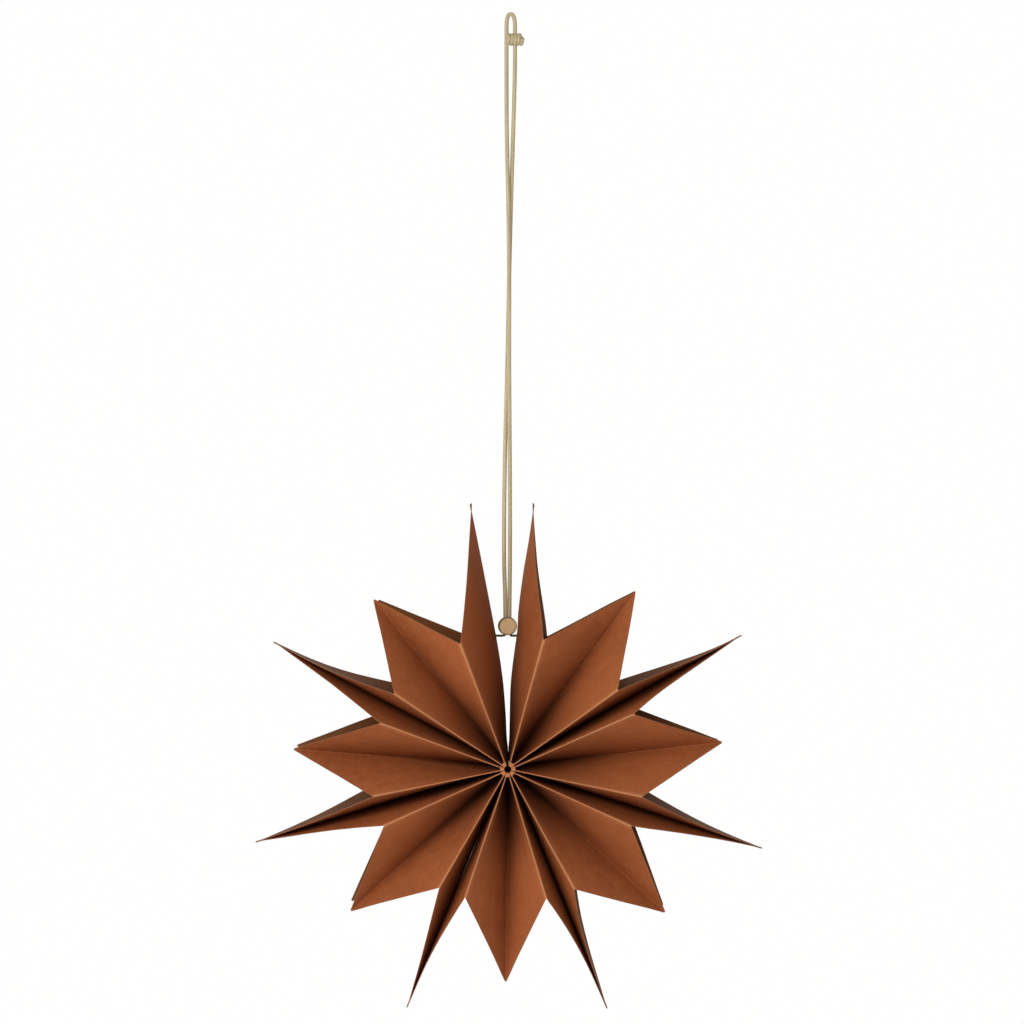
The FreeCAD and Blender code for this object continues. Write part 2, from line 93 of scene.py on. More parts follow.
# ------------------------------------------------------------------------------------ node helpers
class Nodes:
    """A material or world whose nodes are added one by one."""

    def __init__(self, owner):
        self.tree = owner.node_tree
        self.tree.nodes.clear()

    def add(self, kind, links=None, **settings):
        node = self.tree.nodes.new(kind)
        for key, value in settings.items():
            setattr(node, key, value)
        for key, value in (links or {}).items():
            socket = node.inputs[key]
            if isinstance(value, bpy.types.NodeSocket):
                self.tree.links.new(value, socket)
            else:
                socket.default_value = value
        return node

    def noise(self, where, scale, detail=3.0, rough=0.55, distortion=0.0):
        return self.add("ShaderNodeTexNoise", {"Vector": where, "Scale": scale, "Detail": detail, "Roughness": rough, "Distortion": distortion}).outputs["Fac"]

    def ramp(self, value, low, high, out_low=0.0, out_high=1.0, smooth=True):
        return self.add("ShaderNodeMapRange", {"Value": value, "From Min": low, "From Max": high, "To Min": out_low, "To Max": out_high},
                        interpolation_type="SMOOTHSTEP" if smooth else "LINEAR", clamp=True).outputs["Result"]

    def math(self, operation, a, b=0.0):
        return self.add("ShaderNodeMath", {0: a, 1: b}, operation=operation).outputs[0]

    def mix(self, share, a, b, blend="MIX"):
        node = self.add("ShaderNodeMix", data_type="RGBA", blend_type=blend, clamp_factor=True)
        for index, value in ((0, share), (6, a), (7, b)):
            if isinstance(value, bpy.types.NodeSocket):
                self.tree.links.new(value, node.inputs[index])
            elif index == 0:
                node.inputs[0].default_value = value
            else:
                node.inputs[index].default_value = (*value, 1.0)
        return node.outputs[2]

    def stretched(self, where, scale):
        return self.add("ShaderNodeMapping", {"Vector": where, "Scale": scale}).outputs["Vector"]


def linear(r, g, b):
    """An sRGB colour, 0 to 255, as linear light."""
    return tuple((c / 255 / 12.92) if c / 255 <= 0.04045 else ((c / 255 + 0.055) / 1.055) ** 2.4 for c in (r, g, b))


def material(name):
    made = bpy.data.materials.new(name)
    made.use_nodes = True
    return made, Nodes(made)


# ------------------------------------------------------------------------------------ paper
def paper_material():
    made, n = material("folded_paper")
    where = n.add("ShaderNodeTexCoord").outputs["Object"]
    flat = n.add("ShaderNodeUVMap", uv_map="sheet").outputs["UV"]
    fold = n.add("ShaderNodeAttribute", attribute_name="fold_mm").outputs["Fac"]
    crease = n.add("ShaderNodeAttribute", attribute_name="crease_mm").outputs["Fac"]
    rim = n.add("ShaderNodeAttribute", attribute_name="rim").outputs["Fac"]
    inside = n.add("ShaderNodeAttribute", attribute_name="inside").outputs["Fac"]
    reach = n.add("ShaderNodeAttribute", attribute_name="reach_mm").outputs["Fac"]

    clouds = n.noise(where, 26.0, 3.0, 0.5)
    grain = n.noise(where, 900.0, 4.0, 0.6)
    pulp = n.noise(where, 240.0, 4.0, 0.62, 0.6)
    # fibres: thin threads lying along and across the sheet
    along = n.noise(n.stretched(flat, (46.0, 640.0, 1.0)), 1.0, 3.0, 0.6, 1.1)
    across = n.noise(n.stretched(flat, (700.0, 60.0, 1.0)), 1.0, 3.0, 0.6, 1.4)
    pale_fibres = n.ramp(along, 0.60, 0.72)
    dark_fibres = n.ramp(across, 0.62, 0.75)

    base = n.mix(n.ramp(clouds, 0.32, 0.68), PAPER_DEEP, PAPER_WARM)
    base = n.mix(n.ramp(pulp, 0.30, 0.72, 0.0, 0.55), base, PAPER_LIGHT)
    base = n.mix(n.math("MULTIPLY", pale_fibres, 0.22), base, PAPER_FIBRE)
    base = n.mix(n.math("MULTIPLY", dark_fibres, 0.16), base, PAPER_SHADE)
    base = n.mix(n.ramp(grain, 0.35, 0.75, 0.0, 0.16), base, PAPER_SHADE)

    # wear along the front and rear folds, where the colour has rubbed off the bent fibres, with a painted highlight
    # where the bent edge catches the light; the pale line is weaker towards the star's centre
    broken = n.noise(where, 420.0, 3.0, 0.6)
    width = n.math("ADD", fold, n.ramp(broken, 0.25, 0.75, -0.22, 0.22, False))
    fold_wear_and_highlight = n.math("MULTIPLY", n.ramp(width, FOLD_NEAR, FOLD_FAR, FOLD_WEAR_AND_HIGHLIGHT, 0.0), n.ramp(reach, 4.0, 34.0, 0.62, 1.0, False))
    base = n.mix(fold_wear_and_highlight, base, PAPER_FOLD_WEAR_AND_HIGHLIGHT)
    # a wider soft pale band either side of each fold: partly wear, partly painted highlight
    fold_halo_wear_and_highlight = n.ramp(fold, 0.3, 2.6, 0.16, 0.0)
    base = n.mix(fold_halo_wear_and_highlight, base, PAPER_FOLD_WEAR_AND_HIGHLIGHT)
    # painted highlight: a thin pale line along the valley crease
    crease_highlight = n.ramp(n.math("ADD", crease, n.ramp(broken, 0.25, 0.75, -0.15, 0.15, False)), 0.25, 1.0, 0.10, 0.0)
    base = n.mix(crease_highlight, base, PAPER_CREASE_HIGHLIGHT)
    # painted shade: the inner side of the sheet is coloured darker, standing in for the shade inside the units
    base = n.mix(n.math("MULTIPLY", n.ramp(inside, 0.0, 1.0, 0.0, 1.0, False), INSIDE_SHADE_SHARE), base, PAPER_INSIDE_SHADE)
    # painted shade: the deep middle of the star is painted darkest, away from the folds, by a share set for each unit
    deep = n.math("MULTIPLY", n.ramp(reach, 6.0, 54.0, 0.72, 0.0), n.ramp(fold, 0.8, 7.0, 0.0, 1.0))
    hub_shade_share = n.add("ShaderNodeAttribute", attribute_type="OBJECT", attribute_name="hub_shade_share").outputs["Fac"]
    base = n.mix(n.math("MULTIPLY", deep, hub_shade_share), base, PAPER_HUB_SHADE)
    base = n.mix(n.math("MULTIPLY", rim, 0.35), base, PAPER_RIM)

    tooth = n.math("ADD", n.math("MULTIPLY", grain, 0.5), n.math("MULTIPLY", pulp, 0.5))
    tooth = n.math("ADD", tooth, n.math("MULTIPLY", n.math("ADD", pale_fibres, dark_fibres), 0.22))
    bump = n.add("ShaderNodeBump", {"Height": tooth, "Strength": 0.35, "Distance": 0.00012})
    rough = n.ramp(pulp, 0.3, 0.7, 0.66, 0.80)
    shader = n.add("ShaderNodeBsdfPrincipled", {"Base Color": base, "Roughness": rough, "Normal": bump.outputs["Normal"]})
    shader.inputs["Specular IOR Level"].default_value = 0.12
    n.add("ShaderNodeOutputMaterial", {"Surface": shader.outputs["BSDF"]})
    return made


PAPER_WARM = linear(146, 80, 43)
PAPER_DEEP = linear(134, 72, 38)
PAPER_LIGHT = linear(154, 87, 49)
PAPER_SHADE = linear(102, 50, 26)
PAPER_FIBRE = linear(180, 116, 74)
PAPER_FOLD_WEAR_AND_HIGHLIGHT = linear(188, 128, 88)
PAPER_CREASE_HIGHLIGHT = linear(164, 108, 78)
PAPER_RIM = linear(150, 112, 86)
# painted shade on the inner side of the sheet
PAPER_INSIDE_SHADE = linear(92, 60, 32)
# colour of the painted shade near the star's middle
PAPER_HUB_SHADE = linear(72, 28, 10)
INSIDE_SHADE_SHARE = 0.75
FOLD_NEAR, FOLD_FAR, FOLD_WEAR_AND_HIGHLIGHT = 0.45, 1.0, 0.6
paper = paper_material()

# ------------------------------------------------------------------------------------ the folded units
THICK, DEPTH, GUSSET, HUB, SEAL, FLOOR = 0.3, 45.3, 30.0, 1.75, 4.0, 0.7
GLUE, CUT, AXIS_RIGHT, AXIS_DOWN = 0.06, 50.6, 0.38, 0.72
RAYS = {
    "a": (-8.5, 125.6), "b": (-62.67, 126.6), "c": (-107.17, 126.7), "d": (-157.23, 126.1),
    "e": (-201.87, 125.6), "f": (-251.62, 127.1), "g": (-299.0, 126.8), "h": (-354.5, 124.6),
}
UNITS = [
    ("b", "a", -56.9, 63.1, -20.6, 62.0, -38.9, 101.4),
    ("c", "b", -102.3, 64.1, -70.5, 62.8, -85.6, 102.2),
    ("d", "c", -150.7, 64.4, -115.1, 63.7, -132.7, 101.6),
    ("e", "d", -196.9, 63.7, -161.9, 63.6, -179.4, 102.3),
    ("f", "e", -245.1, 64.1, -209.0, 65.0, -227.0, 101.75),
    ("g", "f", -293.1, 64.4, -257.8, 64.6, -276.35, 102.15),
    ("h", "g", -344.2, 62.3, -304.8, 63.2, -323.75, 102.0),
]
# of the low and the high panel: share turned evenly, power of the rest, turn of the rear edge; rear valley's turn and further reach
LEANS = [
    (0.00, 2.8, 2.0, 0.60, 3.0, 3.7, -0.2, -0.8),
    (0.30, 2.8, 3.0, 0.45, 3.0, 3.5, 0.0, 0.9),
    (0.45, 2.6, 0.0, 0.45, 3.4, 1.5, 1.5, 0.0),
    (0.00, 3.2, 0.0, 0.00, 2.8, 0.0, 0.0, 0.0),
    (0.30, 2.4, 0.0, 0.30, 3.8, 0.5, 0.0, -1.0),
    (0.45, 4.4, -0.3, 0.15, 2.8, 0.0, 0.3, -1.2),
    (0.45, 2.1, 0.4, 0.00, 2.0, -2.0, 0.0, 0.0),
]
BULGE = {
    "a": ((0, -3.6), (7.5, -3.7), (11.5, -4.8), (21, -3.9), (30.5, -3.9), (39, -4.15), (62, -5.84), (75, -6.7), (90, -7.4), (107, -8.0), (125, -8.5)),
    "h": ((0, -2.2), (7.5, -2.1), (11.5, 0.3), (21, 0.9), (30.5, 0.95), (39, 1.3), (62, 3.46), (73, 3.52), (90, 4.2), (107, 5.05), (125, 5.5)),
}


def smooth_table(table, reach):
    xs, ys = [p[0] for p in table], [p[1] for p in table]
    reach = min(max(reach, xs[0]), xs[-1])
    last = len(xs) - 1
    slopes = [(ys[min(i + 1, last)] - ys[max(i - 1, 0)]) / (xs[min(i + 1, last)] - xs[max(i - 1, 0)]) for i in range(len(xs))]
    i = max(k for k in range(last) if reach >= xs[k])
    w = xs[i + 1] - xs[i]
    q = (reach - xs[i]) / w
    return ((2 * q**3 - 3 * q**2 + 1) * ys[i] + (q**3 - 2 * q**2 + q) * w * slopes[i]
            + (-2 * q**3 + 3 * q**2) * ys[i + 1] + (q**3 - q**2) * w * slopes[i + 1])


def middle(key, reach, base):
    if key in BULGE:
        value = smooth_table(BULGE[key], reach)
        return value - 360 if base < -180 else value
    return base


def point(reach, azimuth, y):
    a = math.radians(azimuth)
    tilt = -y / DEPTH * min(1.0, max(0.0, (63 - reach) / 55))
    return np.array((reach * math.sin(a) + AXIS_RIGHT * tilt, y, reach * math.cos(a) - AXIS_DOWN * tilt))


class Panel:
    def __init__(self, key, side, front, edge, even, power, rear):
        self.key, self.side, self.front, self.edge = key, side, front, edge
        self.even, self.power, self.rear = even, power, rear
        self.base, self.tip = RAYS[key]
        lean = math.radians(front - middle(key, edge, self.base)) * edge
        longer = even**2 + 2 * even * (1 - even) + (1 - even) ** 2 * power**2 / (2 * power - 1)
        self.shrink = 1 - math.sqrt(1 - longer * (lean / DEPTH) ** 2)

    def end(self, face):
        return self.front + (self.rear if face > 0 else 0)

    def turned(self, reach, share, face):
        """Degrees from the middle line."""
        free = max(0.0, (share - GLUE) / (1 - GLUE))
        return (self.end(face) - middle(self.key, reach, self.base)) * (self.even * free + (1 - self.even) * free**self.power)

    def at(self, reach, share, face):
        azimuth = middle(self.key, reach, self.base) + self.turned(reach, share, face)
        return point(reach, azimuth, face * share * DEPTH * (1 - self.shrink * reach / self.edge))


# distances from a fold, mm, at which the sheet has a line of points
NEAR = (0.5, 0.85, 1.4, 2.3, 3.8, 6.2, 9.4, 13.0, 17.0, 21.0)
PANEL_STATIONS = [1 - d / DEPTH for d in NEAR] + [0.46, 0.38, 0.30, 0.22, 0.155, 0.10, GLUE, 0.0]
LEAF_STATIONS = [d / GUSSET for d in NEAR] + [24.4 / GUSSET, 26.8 / GUSSET, 28.3 / GUSSET, 29.1 / GUSSET, 29.6 / GUSSET]
ROWS = 62
GAP = 0.66  # two thicknesses of paper and a little air


def unit_grid(number):
    """The outside skin of one unit as rows from the centre outwards, each a closed loop of points."""
    low_key, high_key, low_az, low_edge, high_az, high_edge, valley_az, valley_reach = UNITS[number - 1]
    lean = LEANS[number - 1]
    low, high = Panel(low_key, -1, low_az, low_edge, *lean[0:3]), Panel(high_key, 1, high_az, high_edge, *lean[3:6])
    mean_edge = (low_edge + high_edge) / 2
    seedling = Vector((number * 17.3, number * 5.1, 3.7))

    def valley(t, face):
        half = math.radians(high.end(face) - low.end(face)) / 2
        tip = valley_reach + (lean[7] if face > 0 else 0)
        y_edge = (abs(low.at(min(SEAL + t * (low_edge - SEAL), low_edge), 1, face)[1]) + abs(high.at(min(SEAL + t * (high_edge - SEAL), high_edge), 1, face)[1])) / 2
        reach = SEAL + t * (tip - SEAL)
        y_here = (abs(low.at(min(reach, mean_edge), 1, face)[1]) + abs(high.at(min(reach, mean_edge), 1, face)[1])) / 2
        across = min(min(reach, mean_edge) * math.sin(half), 0.95 * GUSSET)
        deep = math.sqrt(GUSSET**2 - across**2)
        at_tip = math.sqrt(CUT**2 - (tip - mean_edge * math.cos(half)) ** 2 - (mean_edge * math.sin(half)) ** 2)
        if reach > 0.72 * mean_edge:  # ease from the fold's curve to the tip of the cut
            start = 0.72 * mean_edge
            q = (reach - start) / (tip - start)
            a0 = start * math.sin(half)
            d0 = math.sqrt(GUSSET**2 - a0**2)
            slope = -start * math.sin(half) ** 2 / d0 * (tip - start)
            deep = (2 * q**3 - 3 * q**2 + 1) * d0 + (q**3 - 2 * q**2 + q) * slope + (-2 * q**3 + 3 * q**2) * at_tip
        return point(reach, valley_az + (lean[6] if face > 0 else 0), face * (y_here - deep))

    def leaf_line(panel, t, face):
        reach = SEAL + t * (panel.edge - SEAL)
        return panel.at(reach, 1, face), valley(t, face)

    rows, tags = [], None
    ts = [(k / (ROWS - 1)) ** 1.25 for k in range(ROWS)]
    ts[-1:] = [0.988, 0.996, 1.0]
    heads = [("hub", HUB), ("lip", SEAL - 0.25)] + [("body", t) for t in ts]
    for kind, t in heads:
        sections = {}
        for face in (-1, 1):
            for panel in (low, high):
                if kind == "body":
                    cut = lambda w: SEAL + t * (panel.tip - (panel.tip - panel.edge) * w - SEAL)
                    wall = [panel.at(cut(w), w, face) for w in PANEL_STATIONS]
                    edge, floor_ = leaf_line(panel, t, face)
                    leaf = [edge + (floor_ - edge) * u for u in LEAF_STATIONS]
                else:
                    wall = [panel.at(t, w, face) for w in PANEL_STATIONS]
                    edge = panel.at(t, 1, face)
                    floor_ = (low.at(t, 1, face) + high.at(t, 1, face)) / 2
                    leaf = [edge + (floor_ - edge) * u for u in LEAF_STATIONS]
                to_wall = (wall[3] - edge) / np.linalg.norm(wall[3] - edge)
                to_leaf = (leaf[3] - edge) / np.linalg.norm(leaf[3] - edge)
                if kind == "body":
                    # the leaf keeps two thicknesses away from the panel beside it
                    into = floor_ - edge
                    out = np.cross(into, edge - point(0, 0, edge[1]))
                    out /= np.linalg.norm(out)
                    if np.dot(out, floor_ - wall[-1]) * 1 < 0 and abs(np.dot(out, floor_ - wall[-1])) > 1e-9:
                        out = -out
                    opening = math.acos(max(-1, min(1, float(np.dot(to_wall, to_leaf)))))
                    width = np.linalg.norm(floor_ - edge)
                    for j, u in enumerate(LEAF_STATIONS):
                        d = u * width
                        have = 2 * d * math.sin(opening / 2)
                        short = GAP - have
                        if short > 0:
                            leaf[j] = leaf[j] + out * short * 0.8 * min(1.0, (width - d) / 6.0)
                a, b = wall[0], leaf[0]
                pull = 0.42
                c1, c2 = a - to_wall * pull, b - to_leaf * pull
                bend = []
                for q in (0.22, 0.5, 0.78):
                    bend.append((1 - q) ** 3 * a + 3 * (1 - q) ** 2 * q * c1 + 3 * (1 - q) * q * q * c2 + q**3 * b)
                sections[(panel.side, face)] = (wall, bend, leaf, floor_)
        # front leaf and panel of the low side outwards from the front valley, then round by the rear
        def rounded_valley(face):
            lowleaf, highleaf = sections[(-1, face)][2], sections[(1, face)][2]
            v = sections[(-1, face)][3]
            return [0.5625 * lowleaf[-1] * 1 + 0.375 * v + 0.0625 * highleaf[-1],
                    0.25 * lowleaf[-1] + 0.5 * v + 0.25 * highleaf[-1],
                    0.0625 * lowleaf[-1] + 0.375 * v + 0.5625 * highleaf[-1]]

        def run(side, face, reverse):
            wall, bend, leaf, _ = sections[(side, face)]
            pts = [(p, 0.0 + NEAR_OF_LEAF[i], CREASE_OF_LEAF[i], "leaf", LEAF_STATIONS[i], side, face) for i, p in reversed(list(enumerate(leaf)))]
            pts += [(p, f, 30.0, "bend", 0.0, side, face) for p, f in zip(reversed(bend), (0.28, 0.0, 0.28))]
            pts += [(p, NEAR_OF_PANEL[i], 99.0, "panel", PANEL_STATIONS[i], side, face) for i, p in enumerate(wall)]
            return list(reversed(pts)) if reverse else pts

        whole = []
        whole += run(-1, -1, False)              # front valley to the low panel's middle
        whole += run(-1, 1, True)[1:]            # and on to the rear valley
        for i, p in enumerate(rounded_valley(1)):
            whole.append((p, 29.9, (0.2, 0.0, 0.2)[i], "valley", 1.0, 0, 1))
        whole += run(1, 1, False)
        whole += run(1, -1, True)[1:]
        for i, p in enumerate(reversed(rounded_valley(-1))):
            whole.append((p, 29.9, (0.2, 0.0, 0.2)[i], "valley", 1.0, 0, -1))
        rows.append([w[0] for w in whole])
        tags = [w[1:] for w in whole]
    return np.array(rows), tags, [h[0] for h in heads], (low, high), seedling


NEAR_OF_PANEL = [(1 - w) * DEPTH for w in PANEL_STATIONS]
NEAR_OF_LEAF = [u * GUSSET for u in LEAF_STATIONS]
CREASE_OF_LEAF = [(1 - u) * GUSSET for u in LEAF_STATIONS]


def make_unit(number):
    grid, tags, kinds, (low, high), seedling = unit_grid(number)
    rows, cols = grid.shape[:2]
    first = kinds.index("body")
    # normals of the skin, pointing into the unit
    body = grid[first:]
    dj = np.roll(body, -1, axis=1) - np.roll(body, 1, axis=1)
    di = np.empty_like(body)
    di[1:-1] = body[2:] - body[:-2]
    di[0], di[-1] = body[1] - body[0], body[-1] - body[-2]
    normal = np.cross(dj, di)
    normal /= np.maximum(np.linalg.norm(normal, axis=2, keepdims=True), 1e-9)
    # check on the low panel's middle which way is in: towards the high side
    probe = [j for j, tg in enumerate(tags) if tg[2] == "panel" and tg[3] == 0.0][0]
    inward = grid[-8, [j for j, tg in enumerate(tags) if tg[2] == "panel" and tg[3] == 0.0][1]] - grid[-8, probe]
    if np.dot(normal[-8, probe], inward) < 0:
        normal = -normal
    # slight waviness of the sheet, none at the folds, at the closed end, and where two units lie close
    wave = np.full(body.shape[:2], 0.012)
    for j, (fold, crease, part, station, side, face) in enumerate(tags):
        if part not in ("leaf", "panel"):
            continue
        for i in range(body.shape[0]):
            if part == "leaf":
                free = min(fold, crease) / 9.0
            else:
                reach = math.hypot(body[i, j][0], body[i, j][2])
                apart = abs(math.radians((low if side < 0 else high).turned(reach, station, face))) * reach
                free = min(fold / 9.0, (apart - 0.8) / 4.0)
            free = max(0.0, min(1.0, free))
            if free <= 0:
                continue
            weight = free * free * (3 - 2 * free) * min(1.0, i / 22.0)
            p = Vector(body[i, j] * 0.028) + seedling
            wave[i, j] += weight * ((0.55 if part == "leaf" else 0.22) * noise.noise(p) + 0.10 * noise.noise(p * 3.3 + Vector((9.0, 1.0, 4.0))))
    body = body + normal * wave[:, :, None]
    grid[first:] = body

    # a hair of paper bends over at the very tips of the two free panels
    for panel, key, move in ((high, "a", (0.9, 0.0, 0.2)), (low, "h", (-0.7, 0.0, 0.6))):
        if panel.key != key:
            continue
        tip = panel.at(panel.tip, 0.0, -1)
        for j in range(cols):
            if np.linalg.norm(grid[-1, j] - tip) < 2.0:
                grid[-1, j] = grid[-1, j] + np.array(move)

    offset = np.full(body.shape[:2], THICK)
    for j, (fold, crease, part, station, side, face) in enumerate(tags):
        if part == "bend":
            offset[:, j] = 0.24
    skin_in = grid[first:] + normal * offset[:, :, None]
    start = 3  # the inside begins a little further out than the closed end
    inner = skin_in[start:]

    verts = [tuple(p) for row in grid for p in row]
    inner_at = len(verts)
    verts += [tuple(p) for row in inner for p in row]
    o = lambda i, j: i * cols + j % cols
    n = lambda i, j: inner_at + i * cols + j % cols
    faces, rim_edges = [], []
    for i in range(rows - 1):
        for j in range(cols):
            faces.append((o(i, j), o(i + 1, j), o(i + 1, j + 1), o(i, j + 1)))
    m = len(inner)
    for i in range(m - 1):
        for j in range(cols):
            faces.append((n(i, j), n(i, j + 1), n(i + 1, j + 1), n(i + 1, j)))
    for j in range(cols):
        faces.append((o(rows - 1, j), n(m - 1, j), n(m - 1, j + 1), o(rows - 1, j + 1)))
        rim_edges += [(o(rows - 1, j), o(rows - 1, j + 1)), (n(m - 1, j), n(m - 1, j + 1))]
        rim_edges.append((o(1, j), o(1, j + 1)))
        rim_edges.append((o(0, j), o(0, j + 1)))
    # the end at the star's centre: across from one panel to the other
    panel_low = [j for j, tg in enumerate(tags) if tg[2] == "panel"]
    half_count = len(panel_low) // 2
    lows, highs = panel_low[:half_count], panel_low[half_count:]
    highs = list(reversed(highs))
    for a, b, c, d in zip(lows, lows[1:], highs[1:], highs):
        faces.append((o(0, a), o(0, b), o(0, c), o(0, d)))
    # its two short ends, where the leaves' lines run across
    front = list(range(highs[0], cols)) + list(range(0, lows[0] + 1))
    faces.append(tuple(o(0, j) for j in front))
    rear = list(range(lows[-1], highs[-1] + 1))
    faces.append(tuple(o(0, j) for j in rear))
    # the floor of the inside
    faces.append(tuple(n(0, j) for j in range(cols)))

    mesh = bpy.data.meshes.new("paper_unit_%d" % number)
    mesh.from_pydata([tuple(p) for p in placed(verts)], [], faces)
    mesh.validate()
    bm = bmesh.new()
    bm.from_mesh(mesh)
    bmesh.ops.recalc_face_normals(bm, faces=bm.faces[:])
    bm.to_mesh(mesh)
    bm.free()

    fold_value = np.zeros(len(verts), np.float32)
    crease_value = np.full(len(verts), 99.0, np.float32)
    rim_value = np.zeros(len(verts), np.float32)
    inside_value = np.zeros(len(verts), np.float32)
    inside_value[inner_at:] = 1.0
    reach_value = np.array([math.hypot(p[0], p[2]) for p in verts], np.float32)
    us = np.zeros((len(verts), 2), np.float32)
    run = 0.0
    lengths = []
    for j, (fold, crease, part, station, side, face) in enumerate(tags):
        if j:
            run += float(np.linalg.norm(grid[rows // 2, j] - grid[rows // 2, j - 1]))
        lengths.append(run)
    for j, (fold, crease, part, station, side, face) in enumerate(tags):
        for i in range(rows):
            k = o(i, j)
            fold_value[k], crease_value[k] = fold, crease
            if i < 2:
                fold_value[k] = min(fold, 0.4) if part != "panel" else fold
                crease_value[k] = 99.0
            p = grid[i, j]
            us[k] = (math.hypot(p[0], p[2]) * MM, lengths[j] * MM)
        for i in range(m):
            k = n(i, j)
            fold_value[k], crease_value[k] = 9.0, 99.0
            p = inner[i, j]
            us[k] = (math.hypot(p[0], p[2]) * MM + 0.37, lengths[j] * MM)
        rim_value[n(m - 1, j)] = 1.0
        rim_value[o(rows - 1, j)] = 1.0
    for name, values in (("fold_mm", fold_value), ("crease_mm", crease_value), ("rim", rim_value), ("inside", inside_value), ("reach_mm", reach_value)):
        layer = mesh.attributes.new(name, "FLOAT", "POINT")
        layer.data.foreach_set("value", values)
    uv = mesh.uv_layers.new(name="sheet")
    index = np.empty(len(mesh.loops), np.int32)
    mesh.loops.foreach_get("vertex_index", index)
    uv.data.foreach_set("uv", us[index].ravel())
    mesh.polygons.foreach_set("use_smooth", np.ones(len(mesh.polygons), bool))
    sharp = mesh.attributes.new("sharp_edge", "BOOLEAN", "EDGE")
    wanted = {tuple(sorted(e)) for e in rim_edges}
    flags = [tuple(sorted(e.vertices)) in wanted for e in mesh.edges]
    sharp.data.foreach_set("value", flags)
    obj = bpy.data.objects.new("paper_unit_%d" % number, mesh)
    scene.collection.objects.link(obj)
    mesh.materials.append(paper)
    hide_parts("star_unit_%d" % number)
    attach(obj, "root")
    return obj


units = [make_unit(k) for k in range(1, 8)]


# ------------------------------------------------------------------------------------ tubes for the small pieces
def tube(name, path, radius, sides=14, squeeze=None):
    """A tube mesh along a path, its ends rounded off."""
    path = [Vector(p) for p in path]
    radii = [radius] * len(path)
    head, tail = (path[1] - path[0]).normalized(), (path[-1] - path[-2]).normalized()
    steps = (0.35, 0.72, 0.94)
    for s in steps:
        path.insert(0, path[0] - head * 0)  # replaced below
    path[0:3] = [path[3] - head * radius * k for k in (0.92, 0.70, 0.36)]
    radii[0:0] = [radius * k for k in (0.30, 0.68, 0.92)]
    path += [path[-1] + tail * radius * k for k in (0.36, 0.70, 0.92)]
    radii += [radius * k for k in (0.92, 0.68, 0.30)]
    verts, faces = [], []
    side = Vector((0, 0, 1)) if abs(head.z) < 0.8 else Vector((1, 0, 0))
    for i, p in enumerate(path):
        along = (path[min(i + 1, len(path) - 1)] - path[max(i - 1, 0)]).normalized()
        side = (side - along * side.dot(along)).normalized()
        other = along.cross(side)
        for k in range(sides):
            a = 2 * math.pi * k / sides
            verts.append(p + (side * math.cos(a) + other * math.sin(a)) * radii[i])
    for i in range(len(path) - 1):
        for k in range(sides):
            a, b = i * sides + k, i * sides + (k + 1) % sides
            faces.append((a, b, b + sides, a + sides))
    faces.append(tuple(reversed(range(sides))))
    faces.append(tuple(range(len(verts) - sides, len(verts))))
    return verts, faces


def joined(name, tubes, mat, slot_name, *nodes):
    verts, faces = [], []
    for v, f in tubes:
        at = len(verts)
        verts += [tuple(x) for x in v]
        faces += [tuple(k + at for k in face) for face in f]
    mesh = bpy.data.meshes.new(name)
    mesh.from_pydata([tuple(p) for p in placed(verts)], [], faces)
    mesh.polygons.foreach_set("use_smooth", np.ones(len(mesh.polygons), bool))
    obj = bpy.data.objects.new(name, mesh)
    scene.collection.objects.link(obj)
    mesh.materials.append(mat)
    if nodes:
        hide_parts(*nodes)
    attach(obj, "root")
    return obj


# ------------------------------------------------------------------------------------ cord, bead and thread materials
def cord_material(name, light, mid, dark, strength=1.0):
    made, n = material(name)
    where = n.add("ShaderNodeTexCoord").outputs["Object"]
    streaks = n.noise(n.stretched(where, (900.0, 900.0, 60.0)), 1.0, 3.0, 0.6, 0.4)
    grain = n.noise(where, 1500.0, 3.0, 0.6)
    slow = n.noise(n.stretched(where, (40.0, 40.0, 14.0)), 1.0, 2.0, 0.5)
    base = n.mix(n.ramp(streaks, 0.3, 0.7), mid, light)
    base = n.mix(n.ramp(slow, 0.35, 0.7, 0.0, 0.4), base, mid)
    base = n.mix(n.ramp(grain, 0.45, 0.8, 0.0, 0.55), base, dark)
    height = n.math("ADD", streaks, n.math("MULTIPLY", grain, 0.5))
    bump = n.add("ShaderNodeBump", {"Height": height, "Strength": 0.4 * strength, "Distance": 0.0001})
    shader = n.add("ShaderNodeBsdfPrincipled", {"Base Color": base, "Roughness": n.ramp(grain, 0.3, 0.7, 0.48, 0.66), "Normal": bump.outputs["Normal"]})
    shader.inputs["Specular IOR Level"].default_value = 0.38
    n.add("ShaderNodeOutputMaterial", {"Surface": shader.outputs["BSDF"]})
    return made


